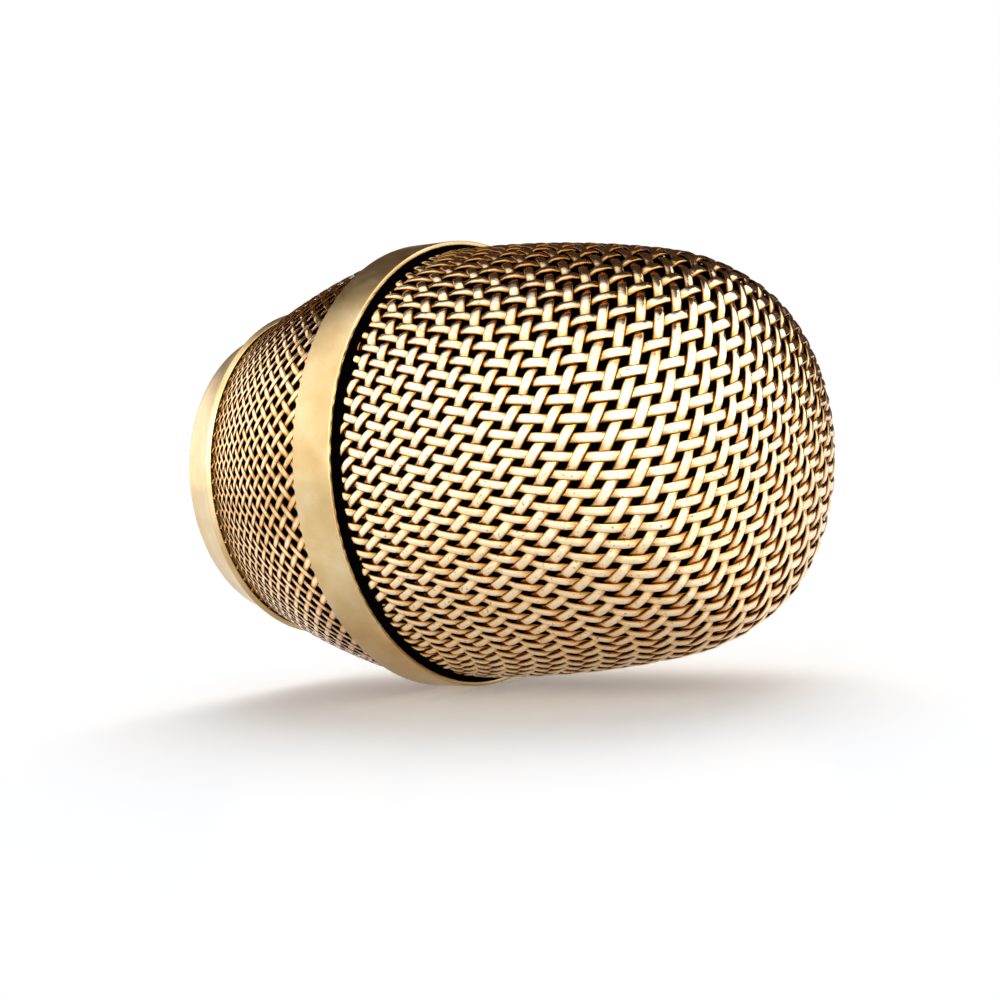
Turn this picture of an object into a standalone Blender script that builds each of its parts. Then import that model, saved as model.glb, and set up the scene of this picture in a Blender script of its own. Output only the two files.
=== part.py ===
"""Screw-on capsule head of a handheld vocal condenser microphone, lying on its side.

The microphone's axis is level and runs along +X, from the collar's back face to the dome's tip.
In the turned outlines below a point is (s, r): s is the distance along the axis from the collar's
back face, r the distance from the axis, both in metres. The head rests on its centre band at z = 0.
"""
import math

import bmesh
import bpy
from mathutils import Matrix, Vector

MM = 0.001

# Driving dimensions -------------------------------------------------------------------------
BAND_RADIUS = 25.5 * MM            # 51 mm across, the widest place
COLLAR_LENGTH = 5.6 * MM
COLLAR_BACK_RADIUS = 17.1 * MM
COLLAR_FRONT_RADIUS = 19.35 * MM
CONE_START = 5.75 * MM
CONE_END = 24.4 * MM
CONE_SMALL_RADIUS = 18.8 * MM
CONE_LARGE_RADIUS = 24.95 * MM
CONE_BULGE = 0.65 * MM
CONE_WALL = 0.9 * MM
BAND_BACK = 24.35 * MM
BAND_FRONT = 29.6 * MM
DOME_RADIUS = 24.5 * MM
DOME_WALL = 1.6 * MM
DOME_STRAIGHT = 2.0 * MM           # straight stretch of the dome in front of the band

# The dome's outline in front of that stretch: arcs of (radius, angle between the surface normal
# and the axis at the arc's end, segments). The nose closes it with one more arc.
DOME_ARCS = (
    (135.0 * MM, math.radians(79.2), 3),
    (20.5 * MM, math.radians(54.0), 3),
    (8.0 * MM, math.radians(34.0), 2),
)
NOSE_SEGMENTS = 4

HANDLE_THREAD_RADIUS = 15.65 * MM  # 31.3 mm interchangeable-head thread
SOCKET_DEPTH = 5.0 * MM
THREAD_PITCH = 1.0 * MM            # grille thread
THREAD_DEPTH = 0.6 * MM
THREAD_ROOT = 16.0 * MM            # root radius of the neck's outside thread
THREAD_START = 6.2 * MM
THREAD_END = 10.7 * MM
THREAD_RUN_OUT = 0.5 * MM
THREAD_SAMPLES = 4                 # rings of points per pitch

GAP = 0.3 * MM                     # clearance between neighbouring pieces
CAPSULE_RADIUS = 9.5 * MM
CAPSULE_BORE = 8.9 * MM
CAPSULE_BACK = 26.5 * MM
CAPSULE_FRONT = 50.0 * MM
CAPSULE_INSERT = 8.6 * MM          # radius of the pieces stacked in the capsule tube
CARRIER_RADIUS = 13.4 * MM
CARRIER_BORE = 12.3 * MM
CARRIER_FRONT = 44.0 * MM
BOARD_RADIUS = 14.6 * MM
BOARD_BACK = 6.3 * MM
BOARD_THICKNESS = 1.6 * MM
SCREW_CIRCLE = 12.9 * MM
SCREW_COUNT = 3
PREAMP_BACK = 14.3 * MM
PREAMP_FRONT = 15.5 * MM

FINE, MEDIUM, THREADED, COARSE = 48, 32, 24, 20  # segments round the turned pieces


def clear_scene():
    for thing in list(bpy.data.objects):
        bpy.data.objects.remove(thing, do_unlink=True)


def make_material(name, colour, roughness, metallic=0.0, alpha=1.0):
    material = bpy.data.materials.new(name)
    material.use_nodes = True
    shader = material.node_tree.nodes["Principled BSDF"]
    shader.inputs["Base Color"].default_value = (*colour, 1.0)
    shader.inputs["Roughness"].default_value = roughness
    shader.inputs["Metallic"].default_value = metallic
    shader.inputs["Alpha"].default_value = alpha
    return material


def empty(name, parent=None, location=(0.0, 0.0, 0.0)):
    holder = bpy.data.objects.new(name, None)
    holder.location = location
    holder.parent = parent
    bpy.context.scene.collection.objects.link(holder)
    return holder


def add_object(name, mesh, parent, material, location=(0.0, 0.0, 0.0)):
    piece = bpy.data.objects.new(name, mesh)
    piece.location = location
    piece.parent = parent
    bpy.context.scene.collection.objects.link(piece)
    if material is not None:
        mesh.materials.append(material)
    mesh.shade_smooth()
    mesh.set_sharp_from_angle(angle=math.radians(35.0))
    return piece


def ring_point(radius, angle):
    """The y and z of a point at an angle round the axis."""
    return radius * math.cos(angle), radius * math.sin(angle)


# Turned pieces ------------------------------------------------------------------------------
def turned(name, outline, segments, parent, material, shape=None):
    """Spin an outline of (s, r) points round the axis. An outline whose ends lie on the axis is a
    solid, any other is closed into a ring. The object's origin is on the axis at its back end.
    shape, if given, moves each point: it takes and returns (s, r) for an angle round the axis."""
    back = min(s for s, _ in outline)
    solid = outline[0][1] == 0.0 and outline[-1][1] == 0.0
    bm = bmesh.new()
    points = [bm.verts.new((s - back, r, 0.0)) for s, r in outline]
    edges = [bm.edges.new(pair) for pair in zip(points, points[1:])]
    if not solid:
        edges.append(bm.edges.new((points[-1], points[0])))
    bmesh.ops.spin(bm, geom=points + edges, cent=(0, 0, 0), axis=(1, 0, 0), dvec=(0, 0, 0),
                   angle=math.tau, steps=segments, use_merge=True, use_duplicate=False)
    bmesh.ops.remove_doubles(bm, verts=bm.verts, dist=1e-7)
    if shape is not None:
        for vertex in bm.verts:
            radius = math.hypot(vertex.co.y, vertex.co.z)
            angle = math.atan2(vertex.co.z, vertex.co.y)
            radius = shape(vertex.co.x + back, radius, angle)
            vertex.co.y, vertex.co.z = ring_point(radius, angle)
    bmesh.ops.recalc_face_normals(bm, faces=bm.faces)
    mesh = bpy.data.meshes.new(name)
    bm.to_mesh(mesh)
    bm.free()
    return add_object(name, mesh, parent, material, (back, 0.0, 0.0))


def disc_outline(back, front, radius):
    return [(back, 0.0), (back, radius), (front, radius), (front, 0.0)]


def ring_outline(back, front, inner, outer):
    return [(back, inner), (back, outer), (front, outer), (front, inner)]


def dome_outline(inset, start, fine=True):
    """The dome's outline from s = start to the tip, moved inwards by inset."""
    points = [(start, DOME_RADIUS - inset)]
    s, r, angle = BAND_FRONT + DOME_STRAIGHT, DOME_RADIUS, math.radians(90.0)
    for radius, end, segments in DOME_ARCS:
        segments = segments if fine else (segments + 1) // 2
        centre_s = s - radius * math.cos(angle)
        centre_r = r - radius * math.sin(angle)
        for step in range(segments):
            normal = angle + (end - angle) * step / segments
            points.append((centre_s + (radius - inset) * math.cos(normal),
                           centre_r + (radius - inset) * math.sin(normal)))
        s = centre_s + radius * math.cos(end)
        r = centre_r + radius * math.sin(end)
        angle = end
    nose_radius = r / math.sin(angle)
    centre_s = s - nose_radius * math.cos(angle)
    segments = NOSE_SEGMENTS if fine else NOSE_SEGMENTS // 2
    for step in range(segments):
        normal = angle * (1.0 - step / segments)
        points.append((centre_s + (nose_radius - inset) * math.cos(normal),
                       (nose_radius - inset) * math.sin(normal)))
    points.append((centre_s + nose_radius - inset, 0.0))
    return points


def dome_shell(inset, wall, start, fine=False):
    """A shell of the dome: its outer surface from the tip to the skirt, and its inner one back."""
    return dome_outline(inset, start, fine)[::-1] + dome_outline(inset + wall, start, False)


def cone_radius(s):
    """Outer radius of the cone's wires, slightly convex."""
    k = min(max((s - CONE_START) / (CONE_END - CONE_START), 0.0), 1.0)
    straight = CONE_SMALL_RADIUS + (CONE_LARGE_RADIUS - CONE_SMALL_RADIUS) * k
    return straight + 4.0 * CONE_BULGE * k * (1.0 - k)


def cone_shell(inset, wall, stations):
    outer = [(s, cone_radius(s) - inset) for s in stations]
    inner = [(s, r - wall) for s, r in outer]
    return outer + inner[::-1]


def spaced(start, end, count):
    return [start + (end - start) * k / count for k in range(count + 1)]


# Threads ------------------------------------------------------------------------------------
def thread_stations():
    count = round((THREAD_END - THREAD_START) / THREAD_PITCH * THREAD_SAMPLES)
    return spaced(THREAD_START, THREAD_END, count)


def thread_wave(s, angle):
    """1 on the crest of a right-hand thread, 0 in its root."""
    return 0.5 + 0.5 * math.cos(math.tau * s / THREAD_PITCH - angle)


def run_out(s):
    """0 at the ends of the thread, 1 along its full stretch."""
    return min(max(min(s - THREAD_START, THREAD_END - s) / THREAD_RUN_OUT, 0.0), 1.0)


def outside_thread(s, radius, angle):
    if abs(radius - THREAD_ROOT) > 0.1 * MM:
        return radius
    return radius + THREAD_DEPTH * run_out(s) * thread_wave(s, angle)


def inside_thread(s, radius, angle):
    if abs(radius - THREAD_ROOT - THREAD_DEPTH - GAP) > 0.1 * MM:
        return radius
    return radius - THREAD_DEPTH * run_out(s) * (1.0 - thread_wave(s, angle))


# Cutters ------------------------------------------------------------------------------------
def cut(piece, cutter_bm):
    """Take a cutter mesh, given in the frame of the head, away from a piece."""
    mesh = bpy.data.meshes.new(piece.name + "_cutter")
    bmesh.ops.translate(cutter_bm, verts=cutter_bm.verts, vec=-piece.location)
    bmesh.ops.recalc_face_normals(cutter_bm, faces=cutter_bm.faces)
    cutter_bm.to_mesh(mesh)
    cutter_bm.free()
    cutter = add_object(piece.name + "_cutter", mesh, piece.parent, None, piece.location)
    cutter.hide_render = True
    cutter.display_type = "WIRE"
    modifier = piece.modifiers.new("cut", "BOOLEAN")
    modifier.operation = "DIFFERENCE"
    modifier.solver = "EXACT"
    modifier.object = cutter


def add_rod(bm, back, front, radius, y, z, sides):
    """A rod along the axis direction, centred on (y, z)."""
    placed = Matrix.Translation(((back + front) / 2, y, z)) @ Matrix.Rotation(math.pi / 2, 4, "Y")
    bmesh.ops.create_cone(bm, cap_ends=True, segments=sides, radius1=radius, radius2=radius,
                          depth=front - back, matrix=placed)


def add_radial_box(bm, back, front, inner, outer, width, angle):
    """A box that points away from the axis at an angle."""
    size = Matrix.Diagonal((front - back, outer - inner, width, 1.0))
    placed = Matrix.Rotation(angle, 4, "X") @ Matrix.Translation(
        ((back + front) / 2, (inner + outer) / 2, 0.0))
    bmesh.ops.create_cube(bm, size=1.0, matrix=placed @ size)


def hole_circle(bm, back, front, radius, circle, count, sides, turn=0.0):
    for k in range(count):
        y, z = ring_point(circle, turn + math.tau * k / count)
        add_rod(bm, back, front, radius, y, z, sides)


def block(name, back, front, size_y, size_z, y, z, edge, parent, material):
    """A box with bevelled edges that stands on a board."""
    bm = bmesh.new()
    bmesh.ops.create_cube(bm, size=1.0, matrix=Matrix.Diagonal((front - back, size_y, size_z, 1.0)))
    mesh = bpy.data.meshes.new(name)
    bm.to_mesh(mesh)
    bm.free()
    piece = add_object(name, mesh, parent, material, ((back + front) / 2, y, z))
    bevel = piece.modifiers.new("edges", "BEVEL")
    bevel.width = edge
    bevel.segments = 1
    return piece


# Materials ----------------------------------------------------------------------------------
def make_materials():
    return {
        "gold_satin": make_material("gold_satin", (0.78, 0.58, 0.30), 0.32, 1.0),
        "gold_wire": make_material("gold_wire", (0.86, 0.68, 0.42), 0.25, 1.0),
        "gold_contact": make_material("gold_contact", (0.93, 0.72, 0.33), 0.2, 1.0),
        "brass": make_material("brass", (0.72, 0.55, 0.28), 0.35, 1.0),
        "nickel": make_material("nickel", (0.70, 0.68, 0.64), 0.3, 1.0),
        "black_screen": make_material("black_screen", (0.03, 0.03, 0.03), 0.5, 1.0),
        "foam": make_material("foam", (0.02, 0.02, 0.02), 0.95),
        "rubber": make_material("rubber", (0.03, 0.03, 0.03), 0.8),
        "black_plastic": make_material("black_plastic", (0.04, 0.04, 0.045), 0.45),
        "white_plastic": make_material("white_plastic", (0.85, 0.85, 0.82), 0.4),
        "circuit_board": make_material("circuit_board", (0.02, 0.10, 0.05), 0.4),
        "film": make_material("film", (0.95, 0.80, 0.45), 0.15, 1.0),
        "lead_red": make_material("lead_red", (0.55, 0.03, 0.02), 0.5),
        "lead_white": make_material("lead_white", (0.8, 0.8, 0.78), 0.5),
        "cloth": make_material("cloth", (0.12, 0.12, 0.12), 0.9),
    }


# Base: collar, neck, boards and suspension --------------------------------------------------
def collar_outline():
    """The flared collar: a slightly hollow flare, a front chamfer and a shallow front recess."""
    flare = []
    for k in (0.0, 0.33, 0.67, 1.0):
        radius = COLLAR_BACK_RADIUS + (COLLAR_FRONT_RADIUS - COLLAR_BACK_RADIUS) * k
        sag = 4.0 * 0.12 * MM * k * (1.0 - k)
        flare.append((0.3 * MM + k * 4.8 * MM, radius - sag))
    return [(0.0, 15.85 * MM), (0.0, COLLAR_BACK_RADIUS - 0.25 * MM)] + flare + [
        (COLLAR_LENGTH, 18.95 * MM), (5.2 * MM, 18.85 * MM), (5.2 * MM, 16.65 * MM),
        (0.8 * MM, 16.65 * MM), (0.8 * MM, 15.85 * MM)]


def neck_outline():
    outside = [(1.1 * MM, 16.35 * MM), (5.2 * MM, 16.35 * MM), (5.2 * MM, THREAD_ROOT)]
    outside += [(s, THREAD_ROOT) for s in thread_stations()]
    inside = [(11.0 * MM, THREAD_ROOT), (11.0 * MM, 14.9 * MM), (6.0 * MM, 14.9 * MM),
              (6.0 * MM, 14.4 * MM), (SOCKET_DEPTH, 14.4 * MM),
              (SOCKET_DEPTH, HANDLE_THREAD_RADIUS), (1.1 * MM, HANDLE_THREAD_RADIUS)]
    return outside + inside


def carrier_outline():
    ledge = PREAMP_BACK - GAP
    return [(8.2 * MM, 11.4 * MM), (8.2 * MM, BOARD_RADIUS), (11.0 * MM, BOARD_RADIUS),
            (11.0 * MM, CARRIER_RADIUS), (CARRIER_FRONT, CARRIER_RADIUS),
            (CARRIER_FRONT, CARRIER_BORE), (ledge, CARRIER_BORE), (ledge, 11.4 * MM)]


def make_neck_and_collar(base, looks):
    turned("base_collar", collar_outline(), FINE, base, looks["gold_satin"])
    turned("threaded_neck", neck_outline(), THREADED, base, looks["brass"], outside_thread)


def make_contact_board(base, looks):
    front = BOARD_BACK + BOARD_THICKNESS
    board = turned("contact_board", disc_outline(BOARD_BACK, front, BOARD_RADIUS), MEDIUM, base,
                   looks["circuit_board"])
    holes = bmesh.new()
    hole_circle(holes, BOARD_BACK - 1 * MM, front + 1 * MM, 1.05 * MM, SCREW_CIRCLE, SCREW_COUNT, 12)
    cut(board, holes)
    contact_front = BOARD_BACK - 0.1 * MM
    contact_back = contact_front - 0.35 * MM
    for name, inner, outer in (("contact_ring_outer", 9.8 * MM, 11.4 * MM),
                               ("contact_ring_inner", 6.4 * MM, 8.0 * MM)):
        turned(name, ring_outline(contact_back, contact_front, inner, outer), THREADED, base,
               looks["gold_contact"])
    turned("contact_pad", disc_outline(contact_back, contact_front, 2.6 * MM), COARSE, base,
           looks["gold_contact"])


def make_board_screws(base, looks):
    """Pan-head screws with a blind driver recess, through the board into the carrier."""
    outline = [(5.7 * MM, 0.0), (5.7 * MM, 0.45 * MM), (5.3 * MM, 0.45 * MM), (5.3 * MM, 0.9 * MM),
               (5.6 * MM, 1.1 * MM), (6.1 * MM, 1.1 * MM), (6.1 * MM, 0.75 * MM),
               (10.5 * MM, 0.75 * MM), (10.5 * MM, 0.0)]
    for k in range(SCREW_COUNT):
        screw = turned(f"board_screw_{k + 1}", outline, 10, base, looks["nickel"])
        y, z = ring_point(SCREW_CIRCLE, math.tau * k / SCREW_COUNT)
        screw.location.y, screw.location.z = y, z


def make_carrier(base, looks):
    carrier = turned("suspension_carrier", carrier_outline(), MEDIUM, base, looks["black_plastic"])
    openings = bmesh.new()
    hole_circle(openings, 7.5 * MM, 10.8 * MM, 1.05 * MM, SCREW_CIRCLE, SCREW_COUNT, 12)
    for k in range(4):
        angle = math.radians(45.0) + math.tau * k / 4
        for back, front in ((17.5 * MM, 25.5 * MM), (30.5 * MM, 38.5 * MM)):
            add_radial_box(openings, back, front, 9.0 * MM, 16.0 * MM, 11.0 * MM, angle)
    cut(carrier, openings)


def make_preamp(base, looks):
    turned("preamp_board", disc_outline(PREAMP_BACK, PREAMP_FRONT, 12.0 * MM), THREADED, base,
           looks["circuit_board"])
    block("board_connector", 8.2 * MM, PREAMP_BACK - GAP, 7.6 * MM, 2.6 * MM, 0.0, 6.0 * MM,
          0.2 * MM, base, looks["white_plastic"])
    foot = PREAMP_FRONT + GAP
    block("preamp_transistor", foot, foot + 1.2 * MM, 3.0 * MM, 2.6 * MM, 5.5 * MM, 4.5 * MM,
          0.15 * MM, base, looks["black_plastic"])
    capacitor = turned("coupling_capacitor", disc_outline(foot, foot + 5.0 * MM, 2.1 * MM), 16, base,
                       looks["black_plastic"])
    capacitor.location.y, capacitor.location.z = -5.5 * MM, -4.5 * MM


def make_suspension_rings(base, looks):
    """Rubber rings: an outer and an inner bead joined by a thin web."""
    for name, middle in (("suspension_ring_rear", 28.2 * MM), ("suspension_ring_front", 41.2 * MM)):
        half = [(0.9 * MM, 12.0 * MM), (0.9 * MM, 11.4 * MM), (0.35 * MM, 11.4 * MM),
                (0.35 * MM, 10.5 * MM), (0.9 * MM, 10.5 * MM), (0.9 * MM, 9.8 * MM)]
        outline = [(middle + s, r) for s, r in half] + [(middle - s, r) for s, r in half[::-1]]
        turned(name, outline, COARSE, base, looks["rubber"])


def lead(name, start, pull_start, pull_end, end, parent, material):
    """A thin flexible lead along one cubic curve."""
    count = 10
    curve = bpy.data.curves.new(name, "CURVE")
    curve.dimensions = "3D"
    curve.bevel_depth = 0.35 * MM
    curve.bevel_resolution = 1
    curve.use_fill_caps = True
    spline = curve.splines.new("POLY")
    spline.points.add(count)
    for k in range(count + 1):
        t = k / count
        place = (Vector(start) * (1 - t) ** 3 + Vector(pull_start) * 3 * t * (1 - t) ** 2
                 + Vector(pull_end) * 3 * t * t * (1 - t) + Vector(end) * t ** 3)
        spline.points[k].co = (*place, 1.0)
    curve.materials.append(material)
    wire = bpy.data.objects.new(name, curve)
    wire.parent = parent
    bpy.context.scene.collection.objects.link(wire)


def make_signal_leads(base, looks):
    """From the electrode pin and from the capsule tube to the preamp board, with some slack."""
    foot = PREAMP_FRONT + GAP
    lead("signal_lead_1", (24.1 * MM, 0, 0), (20.5 * MM, 0, 0), (19.5 * MM, 6 * MM, -3 * MM),
         (foot, 4.5 * MM, -3.0 * MM), base, looks["lead_red"])
    lead("signal_lead_2", (26.1 * MM, -9.2 * MM, 0), (20.5 * MM, -9.2 * MM, 0),
         (20.5 * MM, -6 * MM, 5.5 * MM), (foot, -6.0 * MM, 5.0 * MM), base, looks["lead_white"])


# Grille: dome, band, cone, linings and flange -----------------------------------------------
def band_outline():
    """The band has a pocket for the dome's skirt in front and one for the cone's behind."""
    edge = 0.15 * MM
    return [(BAND_BACK, 25.12 * MM), (BAND_BACK, BAND_RADIUS - edge),
            (BAND_BACK + edge, BAND_RADIUS), (BAND_FRONT - edge, BAND_RADIUS),
            (BAND_FRONT, BAND_RADIUS - edge), (BAND_FRONT, 24.98 * MM), (27.6 * MM, 24.98 * MM),
            (27.6 * MM, 22.6 * MM), (26.3 * MM, 22.6 * MM), (26.3 * MM, 25.12 * MM)]


def flange_outline():
    bore = THREAD_ROOT + THREAD_DEPTH + GAP
    outer = [(s, cone_radius(s) - CONE_WALL - 0.15 * MM) for s in spaced(CONE_START, 11.2 * MM, 2)]
    return outer + [(11.2 * MM, bore)] + [(s, bore) for s in thread_stations()[::-1]] + [
        (CONE_START, bore)]


def make_grille(grille, looks):
    turned("dome_mesh", dome_shell(0.0, DOME_WALL, 28.0 * MM, True), MEDIUM, grille,
           looks["gold_wire"])
    turned("dome_liner", dome_shell(1.9 * MM, 0.4 * MM, 31.0 * MM), COARSE, grille,
           looks["black_screen"])
    turned("dome_foam", dome_shell(2.6 * MM, 2.4 * MM, 31.2 * MM), COARSE, grille, looks["foam"])
    turned("dome_retainer_ring", ring_outline(28.0 * MM, 30.6 * MM, 21.3 * MM, 22.5 * MM), THREADED,
           grille, looks["brass"])
    turned("band_ring", band_outline(), FINE, grille, looks["gold_satin"])
    turned("cone_retainer_ring", ring_outline(24.2 * MM, 26.0 * MM, 22.5 * MM, 23.7 * MM), THREADED,
           grille, looks["brass"])
    stations = spaced(CONE_START, CONE_END, 3) + [25.9 * MM]
    turned("cone_mesh", cone_shell(0.0, CONE_WALL, stations), MEDIUM, grille, looks["gold_wire"])
    turned("cone_foam", cone_shell(CONE_WALL + GAP, 2.0 * MM, spaced(11.6 * MM, 23.8 * MM, 2)), COARSE,
           grille, looks["foam"])
    turned("grille_flange", flange_outline(), THREADED, grille, looks["brass"], inside_thread)


# Capsule ------------------------------------------------------------------------------------
def make_capsule_housing(capsule, looks):
    outline = [(CAPSULE_BACK, CAPSULE_RADIUS), (CAPSULE_FRONT, CAPSULE_RADIUS),
               (CAPSULE_FRONT, 8.0 * MM), (49.4 * MM, 8.0 * MM), (49.4 * MM, CAPSULE_BORE),
               (CAPSULE_BACK, CAPSULE_BORE)]
    housing = turned("capsule_housing", outline, MEDIUM, capsule, looks["brass"])
    slots = bmesh.new()
    for k in range(8):
        add_radial_box(slots, 31.5 * MM, 37.0 * MM, 7.5 * MM, 11.0 * MM, 2.4 * MM, math.tau * k / 8)
    cut(housing, slots)


def make_capsule_stack(capsule, looks):
    """Everything inside the capsule tube, from its front grid to its rear cap."""
    grid = turned("front_grid", disc_outline(48.7 * MM, 49.15 * MM, CAPSULE_INSERT), COARSE, capsule,
                  looks["nickel"])
    holes = bmesh.new()
    add_rod(holes, 48.0 * MM, 50.0 * MM, 1.0 * MM, 0.0, 0.0, 6)
    hole_circle(holes, 48.0 * MM, 50.0 * MM, 1.0 * MM, 3.2 * MM, 6, 6)
    hole_circle(holes, 48.0 * MM, 50.0 * MM, 1.0 * MM, 6.2 * MM, 12, 6)
    cut(grid, holes)
    turned("diaphragm_ring", ring_outline(47.3 * MM, 48.4 * MM, 7.6 * MM, CAPSULE_INSERT), COARSE,
           capsule, looks["brass"])
    turned("diaphragm", disc_outline(46.8 * MM, 47.0 * MM, 8.5 * MM), COARSE, capsule,
           looks["film"])
    turned("spacer_ring", ring_outline(46.2 * MM, 46.5 * MM, 7.6 * MM, CAPSULE_INSERT), COARSE,
           capsule, looks["white_plastic"])
    backplate = turned("backplate", disc_outline(44.0 * MM, 45.9 * MM, 8.5 * MM), COARSE, capsule,
                       looks["brass"])
    vents = bmesh.new()
    hole_circle(vents, 43.0 * MM, 47.0 * MM, 0.6 * MM, 3.0 * MM, 6, 6)
    hole_circle(vents, 43.0 * MM, 47.0 * MM, 0.6 * MM, 6.0 * MM, 12, 6)
    cut(backplate, vents)
    turned("insulator", ring_outline(40.5 * MM, 43.7 * MM, 5.0 * MM, CAPSULE_INSERT), COARSE,
           capsule, looks["white_plastic"])
    turned("damping_cloth", ring_outline(39.7 * MM, 40.2 * MM, 1.0 * MM, 8.5 * MM), COARSE, capsule,
           looks["cloth"])
    turned("contact_pin", disc_outline(24.4 * MM, 43.7 * MM, 0.6 * MM), 12, capsule,
           looks["gold_contact"])
    rear_cap = turned("rear_cap", ring_outline(27.2 * MM, 28.8 * MM, 1.0 * MM, CAPSULE_INSERT),
                      COARSE, capsule, looks["white_plastic"])
    vents = bmesh.new()
    hole_circle(vents, 26.5 * MM, 29.5 * MM, 1.2 * MM, 5.2 * MM, 4, 10, math.radians(45.0))
    cut(rear_cap, vents)


def main():
    clear_scene()
    looks = make_materials()
    tip = dome_outline(0.0, BAND_FRONT)[-1][0]
    head = empty("microphone_head", location=(-tip / 2, 0.0, BAND_RADIUS))
    base = empty("base", head)
    washer = empty("washer_axis", base)
    grille = empty("grille_axis", washer)
    capsule = empty("capsule_axis", base)
    make_neck_and_collar(base, looks)
    make_contact_board(base, looks)
    make_board_screws(base, looks)
    make_carrier(base, looks)
    make_preamp(base, looks)
    make_suspension_rings(base, looks)
    make_signal_leads(base, looks)
    turned("slip_washer", ring_outline(5.3 * MM, 5.6 * MM, 17.0 * MM, 18.2 * MM), THREADED, washer,
           looks["white_plastic"])
    make_grille(grille, looks)
    make_capsule_housing(capsule, looks)
    make_capsule_stack(capsule, looks)
    bpy.context.view_layer.update()


main()
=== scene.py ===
"""Looks of the screw-on capsule head of a gold condenser microphone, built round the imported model.

The main places are taken from the frame. In the turned outlines a point is (s, r): s is the
distance along the microphone's axis from the collar's back face, r the distance from the axis,
both in metres.
"""

import math

import bmesh
import bpy
import numpy as np
from mathutils import Euler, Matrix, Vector


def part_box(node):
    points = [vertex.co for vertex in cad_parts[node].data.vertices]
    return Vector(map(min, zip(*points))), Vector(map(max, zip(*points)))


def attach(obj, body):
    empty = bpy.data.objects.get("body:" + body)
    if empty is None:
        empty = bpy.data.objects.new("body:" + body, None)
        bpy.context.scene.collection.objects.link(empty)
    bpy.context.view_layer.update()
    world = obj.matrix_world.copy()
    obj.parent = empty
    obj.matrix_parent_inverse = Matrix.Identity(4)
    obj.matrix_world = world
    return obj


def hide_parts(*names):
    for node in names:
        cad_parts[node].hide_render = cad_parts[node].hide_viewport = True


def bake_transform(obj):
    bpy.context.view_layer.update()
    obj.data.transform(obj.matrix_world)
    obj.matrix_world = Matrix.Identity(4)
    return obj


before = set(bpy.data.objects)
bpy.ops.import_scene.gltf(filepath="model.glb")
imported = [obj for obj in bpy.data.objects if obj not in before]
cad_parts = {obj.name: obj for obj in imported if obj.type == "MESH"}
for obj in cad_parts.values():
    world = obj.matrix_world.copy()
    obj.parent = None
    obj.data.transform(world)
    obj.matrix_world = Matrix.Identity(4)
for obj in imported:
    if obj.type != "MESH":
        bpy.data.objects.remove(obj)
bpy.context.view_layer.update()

MM = 0.001


# Places and sizes, read from the frame ------------------------------------------------------
def axial(node):
    """A node's first and last place along the axis, from the collar's back face."""
    low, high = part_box(node)
    return low.x - BACK_X, high.x - BACK_X


def radius_of(node):
    low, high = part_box(node)
    return (high.z - low.z) / 2


BACK_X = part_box("base_collar")[0].x
AXIS_Z = (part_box("band_ring")[0].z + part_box("band_ring")[1].z) / 2
COLLAR_END = axial("base_collar")[1]
BAND_BACK, BAND_FRONT = axial("band_ring")
BAND_RADIUS = radius_of("band_ring")
DOME_RADIUS = radius_of("dome_mesh")
CONE_START, CONE_SKIRT = axial("cone_mesh")
CONE_END = BAND_BACK + 0.05 * MM
CONE_WALL = 0.9 * MM

# The grille's thread, outside the neck and inside the flange.
THREAD_ROOT = 16.0 * MM
THREAD_DEPTH = 0.6 * MM
THREAD_PITCH = 1.0 * MM
THREAD_START, THREAD_END = 6.2 * MM, 10.7 * MM
THREAD_RUN_OUT = 0.5 * MM
FLANGE_BORE = THREAD_ROOT + THREAD_DEPTH + 0.3 * MM
FLANGE_END = 11.2 * MM

# The neck, and the handle's thread inside it.
NECK_START, NECK_END = 1.1 * MM, 11.0 * MM
NECK_BACK_RADIUS = 16.35 * MM
NECK_BORE = 14.9 * MM
NECK_STEP = 5.2 * MM               # it is wider behind this, inside the collar
SHOULDER_BORE = 14.4 * MM          # the shoulder in front of the handle's socket
SOCKET_DEPTH, SHOULDER_END = 5.0 * MM, 6.0 * MM
HANDLE_THREAD_RADIUS = 15.65 * MM
HANDLE_THREAD_PITCH, HANDLE_THREAD_DEPTH = 0.8 * MM, 0.3 * MM
HANDLE_THREAD_START, HANDLE_THREAD_END = 1.3 * MM, 4.8 * MM
HANDLE_THREAD_RUN_OUT = 0.3 * MM
ON_THREAD = 0.05 * MM              # an outline's point this near the thread's radius is threaded

# The dome's outline in front of its straight stretch: arcs of radius and of the angle between
# the surface normal and the axis at the arc's end. One more arc closes the nose.
DOME_STRAIGHT = 2.0 * MM
DOME_ARCS = ((135.0 * MM, 79.2), (20.5 * MM, 54.0), (8.0 * MM, 34.0))
GROOVE_WIDTH = 1.05 * MM           # the wires dive behind the band's front edge
GROOVE_DEPTH = 1.7 * MM
GROOVE_REACH = 1.6                 # how far back they dive, over the groove's width
GROOVE_LEAN = 0.75                 # how far their normals lean back, over the dive's own turn

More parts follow.
